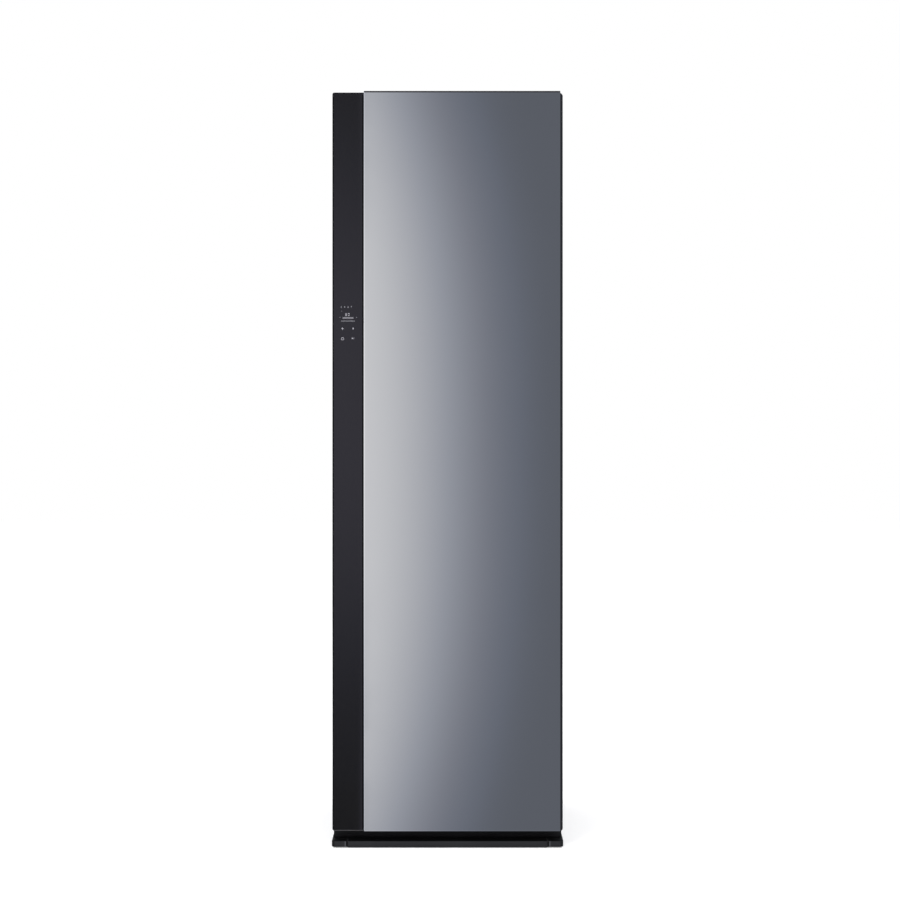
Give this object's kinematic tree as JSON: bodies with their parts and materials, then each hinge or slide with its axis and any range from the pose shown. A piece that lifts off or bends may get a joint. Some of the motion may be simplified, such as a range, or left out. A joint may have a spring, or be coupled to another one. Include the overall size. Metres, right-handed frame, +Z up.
{
  "type": "clothes care steam cabinet",
  "caption": "Tall free-standing garment steam cabinet with a mirrored door, a touch strip, a hanging cavity, a trouser press and water tanks.",
  "frame": {"origin": "middle of the footprint, at floor level under the feet", "axes": "+X to the cabinet's right as its door is faced, -Y out of the door, +Z up"},
  "size_m": [0.6, 0.596, 1.96],
  "materials": {
    "mirror": "polished tinted mirror glass",
    "black_glass": "gloss black back-printed glass",
    "dark_steel": "satin coated sheet steel",
    "dark_plastic": "fine moulded grain",
    "base_plastic": "matte moulded",
    "liner_plastic": "satin vacuum formed sheet",
    "smoke_plastic": "smooth smoke grey",
    "tank_plastic": "clear blue-grey moulding",
    "rubber": "matte rubber",
    "galvanized": "zinc coated sheet",
    "coil_metal": "bare fin stock",
    "black_metal": "black enamel",
    "brushed_steel": "brushed",
    "pad_fabric": "woven pad cover",
    "board_plastic": "matte moulded",
    "lamp": "opal diffuser"
  },
  "bodies": {
    "cabinet": {"side_panel_left": "dark_steel", "side_panel_right": "dark_steel", "top_panel": "dark_steel", "kick_plate": "dark_plastic", "front_frame": "dark_plastic", "hinge_cover": "dark_plastic", "duct_housing": "dark_plastic", "power_inlet": "dark_plastic", "base_tray": "base_plastic", "base_front_bar": "base_plastic", "base_corner_left": "base_plastic", "base_corner_right": "base_plastic", "case_wall_left": "liner_plastic", "case_wall_right": "liner_plastic", "case_back": "liner_plastic", "case_ceiling": "liner_plastic", "shelf_support": "liner_plastic", "cavity_floor": "liner_plastic", "tank_bay": "liner_plastic", "steam_nozzle": "smoke_plastic", "rear_panel": "galvanized", "hinge_bracket_top": "galvanized", "hinge_bracket_bottom": "galvanized", "hanger_guide": "galvanized", "steam_generator": "galvanized", "heat_exchanger": "coil_metal", "compressor": "black_metal", "fan_motor": "black_metal", "hanger_motor": "black_metal", "pump_pair": "board_plastic", "control_box": "board_plastic", "interior_light": "lamp"},
    "door": {"door_frame": "dark_plastic", "door_liner": "liner_plastic", "door_gasket": "rubber", "mirror_panel": "mirror", "control_strip": "black_glass", "door_trim": "dark_steel", "press_pad": "pad_fabric", "press_hinge_strip": "dark_plastic", "trouser_rail": "brushed_steel"},
    "press": {"press_panel": "smoke_plastic"},
    "press_latch": {"press_latch": "dark_plastic"},
    "trouser_clip": {"trouser_clip": "dark_plastic"},
    "hanger": {"hanger_bar": "brushed_steel"},
    "crank": {"drive_crank": "black_metal"},
    "fan": {"fan_impeller": "dark_plastic"},
    "supply_tank": {"supply_tank": "tank_plastic", "supply_tank_lid": "smoke_plastic"},
    "supply_handle": {"supply_tank_handle": "dark_plastic"},
    "supply_cap": {"supply_tank_cap": "smoke_plastic"},
    "drain_tank": {"drain_tank": "tank_plastic", "drain_tank_lid": "smoke_plastic"},
    "drain_handle": {"drain_tank_handle": "dark_plastic"},
    "drain_cap": {"drain_tank_cap": "smoke_plastic"},
    "shelf": {"shelf": "liner_plastic"},
    "lint_filter": {"lint_filter": "dark_plastic"},
    "aroma_cartridge": {"aroma_cartridge": "smoke_plastic"},
    "foot_front_left": {"foot_front_left": "rubber"},
    "foot_front_right": {"foot_front_right": "rubber"}
  },
  "joints": [
    {"name": "door_hinge", "type": "hinge", "parent": "cabinet", "child": "door", "pos_m": [0.2845, -0.25, 0.042], "axis": [0, 0, 1], "range_deg": [0, 110]},
    {"name": "press_hinge", "type": "hinge", "parent": "door", "child": "press", "pos_m": [0.18, -0.2112, 0.7], "axis": [0, 0, -1], "range_deg": [0, 90]},
    {"name": "press_latch_pivot", "type": "hinge", "parent": "press", "child": "press_latch", "pos_m": [-0.1542, -0.1997, 1.12], "axis": [0, 0, -1], "range_deg": [0, 30]},
    {"name": "trouser_clip_slide", "type": "slide", "parent": "door", "child": "trouser_clip", "axis": [0, 0, 1], "range_m": [0, 0.12]},
    {"name": "hanger_shake", "type": "slide", "parent": "cabinet", "child": "hanger", "axis": [1, 0, 0], "range_m": [-0.01, 0.01]},
    {"name": "crank_spin", "type": "hinge", "parent": "cabinet", "child": "crank", "pos_m": [0, 0, 1.88], "axis": [0, 0, 1], "continuous": true},
    {"name": "fan_spin", "type": "hinge", "parent": "cabinet", "child": "fan", "pos_m": [0, 0.16197, 0.1857], "axis": [0, 0, 1], "continuous": true},
    {"name": "supply_tank_slide", "type": "slide", "parent": "cabinet", "child": "supply_tank", "axis": [0, -1, 0], "range_m": [0, 0.035]},
    {"name": "supply_handle_hinge", "type": "hinge", "parent": "supply_tank", "child": "supply_handle", "pos_m": [-0.122, -0.19, 0.2629], "axis": [1, 0, 0], "range_deg": [0, 90]},
    {"name": "supply_cap_hinge", "type": "hinge", "parent": "supply_tank", "child": "supply_cap", "pos_m": [-0.122, -0.096, 0.2614], "axis": [-1, 0, 0], "range_deg": [0, 90]},
    {"name": "drain_tank_slide", "type": "slide", "parent": "cabinet", "child": "drain_tank", "axis": [0, -1, 0], "range_m": [0, 0.035]},
    {"name": "drain_handle_hinge", "type": "hinge", "parent": "drain_tank", "child": "drain_handle", "pos_m": [0.122, -0.19, 0.2629], "axis": [1, 0, 0], "range_deg": [0, 90]},
    {"name": "drain_cap_hinge", "type": "hinge", "parent": "drain_tank", "child": "drain_cap", "pos_m": [0.122, -0.096, 0.2614], "axis": [-1, 0, 0], "range_deg": [0, 90]},
    {"name": "shelf_lift", "type": "slide", "parent": "cabinet", "child": "shelf", "axis": [0, 0, 1], "range_m": [0, 0.06]},
    {"name": "lint_filter_lift", "type": "slide", "parent": "cabinet", "child": "lint_filter", "axis": [0, 0, 1], "range_m": [0, 0.11]},
    {"name": "aroma_cartridge_lift", "type": "slide", "parent": "cabinet", "child": "aroma_cartridge", "axis": [0, 0, 1], "range_m": [0, 0.06]},
    {"name": "foot_front_left_turn", "type": "hinge", "parent": "cabinet", "child": "foot_front_left", "pos_m": [-0.255, -0.2, 0], "axis": [0, 0, 1], "continuous": true},
    {"name": "foot_front_right_turn", "type": "hinge", "parent": "cabinet", "child": "foot_front_right", "pos_m": [0.255, -0.2, 0], "axis": [0, 0, 1], "continuous": true}
  ]
}
